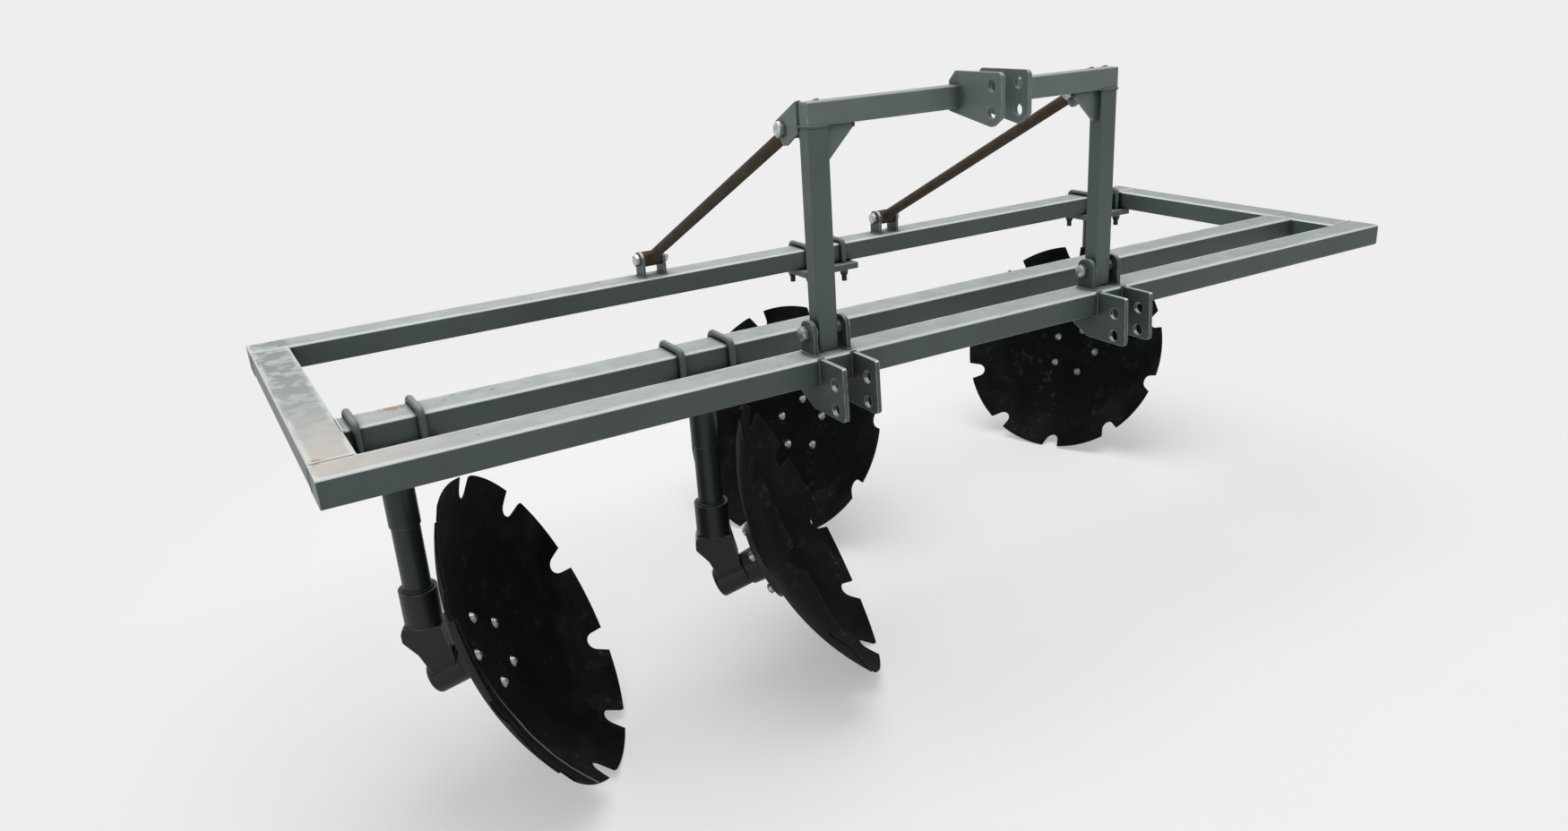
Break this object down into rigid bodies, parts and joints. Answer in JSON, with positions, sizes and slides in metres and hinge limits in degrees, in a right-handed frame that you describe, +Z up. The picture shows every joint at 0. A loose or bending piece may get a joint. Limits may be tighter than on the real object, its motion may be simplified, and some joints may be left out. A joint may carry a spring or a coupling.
{
  "type": "disc ridger for a three-point linkage",
  "caption": "Mounted disc ridger: a long tube frame with a hitch mast and stays, and notched concave discs on clamped shanks that turn freely on tilted axles.",
  "frame": {"origin": "on the floor, under the middle of the whole implement", "axes": "+X along the beams to the right as seen from the tractor looking back at it, -Y towards the tractor, +Z up"},
  "size_m": [3, 1.4197, 1.4154],
  "materials": {
    "grey_paint": "grey-green machinery paint, worn and dusty",
    "dark_paint": "dark grey-green machinery paint",
    "black_enamel": "glossy black enamel",
    "rusty_steel": "brown rusted steel bar",
    "zinc_steel": "zinc plated"
  },
  "bodies": {
    "root": {"beam_end_caps": "grey_paint", "bearing_housing_1": "dark_paint", "bearing_housing_2": "dark_paint", "bearing_housing_3": "dark_paint", "bearing_housing_4": "dark_paint", "clamp_plate_1": "grey_paint", "clamp_plate_2": "grey_paint", "clamp_plate_3": "grey_paint", "clamp_plate_4": "grey_paint", "end_tube_left": "grey_paint", "end_tube_right": "grey_paint", "front_beam": "grey_paint", "knee_1": "dark_paint", "knee_2": "dark_paint", "knee_3": "dark_paint", "knee_4": "dark_paint", "lower_hitch_plate_left_inner": "grey_paint", "lower_hitch_plate_left_outer": "grey_paint", "lower_hitch_plate_right_inner": "grey_paint", "lower_hitch_plate_right_outer": "grey_paint", "mast_crossbar": "grey_paint", "mast_end_caps": "grey_paint", "mast_foot_bolts": "zinc_steel", "mast_foot_bushes": "grey_paint", "mast_foot_lugs_left": "grey_paint", "mast_foot_lugs_right": "grey_paint", "mast_gussets": "grey_paint", "mast_upright_left": "grey_paint", "mast_upright_right": "grey_paint", "middle_beam": "grey_paint", "rear_beam": "grey_paint", "shank_1": "dark_paint", "shank_2": "dark_paint", "shank_3": "dark_paint", "shank_4": "dark_paint", "stay_bolts": "zinc_steel", "stay_left": "rusty_steel", "stay_rear_lugs_left": "grey_paint", "stay_rear_lugs_right": "grey_paint", "stay_right": "rusty_steel", "stay_top_lugs_left": "grey_paint", "stay_top_lugs_right": "grey_paint", "top_hitch_plate_left": "grey_paint", "top_hitch_plate_right": "grey_paint", "u_bolts_1": "grey_paint", "u_bolts_2": "grey_paint", "u_bolts_3": "grey_paint", "u_bolts_4": "grey_paint"},
    "disc_1_turning": {"disc_1": "black_enamel", "hub_1": "dark_paint", "disc_bolts_1": "zinc_steel"},
    "disc_2_turning": {"disc_2": "black_enamel", "hub_2": "dark_paint", "disc_bolts_2": "zinc_steel"},
    "disc_3_turning": {"disc_3": "black_enamel", "hub_3": "dark_paint", "disc_bolts_3": "zinc_steel"},
    "disc_4_turning": {"disc_4": "black_enamel", "hub_4": "dark_paint", "disc_bolts_4": "zinc_steel"}
  },
  "joints": [
    {"name": "disc_1_axle", "type": "hinge", "parent": "root", "child": "disc_1_turning", "pos_m": [-1.10719, -0.37396, 0.33266], "axis": [0.8192, -0.3995, 0.4115], "continuous": true},
    {"name": "disc_2_axle", "type": "hinge", "parent": "root", "child": "disc_2_turning", "pos_m": [-0.40319, -0.37396, 0.33266], "axis": [0.8192, -0.3995, 0.4115], "continuous": true},
    {"name": "disc_3_axle", "type": "hinge", "parent": "root", "child": "disc_3_turning", "pos_m": [-0.07169, 0.36549, 0.33266], "axis": [-0.845, -0.3414, 0.4115], "continuous": true},
    {"name": "disc_4_axle", "type": "hinge", "parent": "root", "child": "disc_4_turning", "pos_m": [1.10831, 0.36549, 0.33266], "axis": [-0.845, -0.3414, 0.4115], "continuous": true}
  ]
}
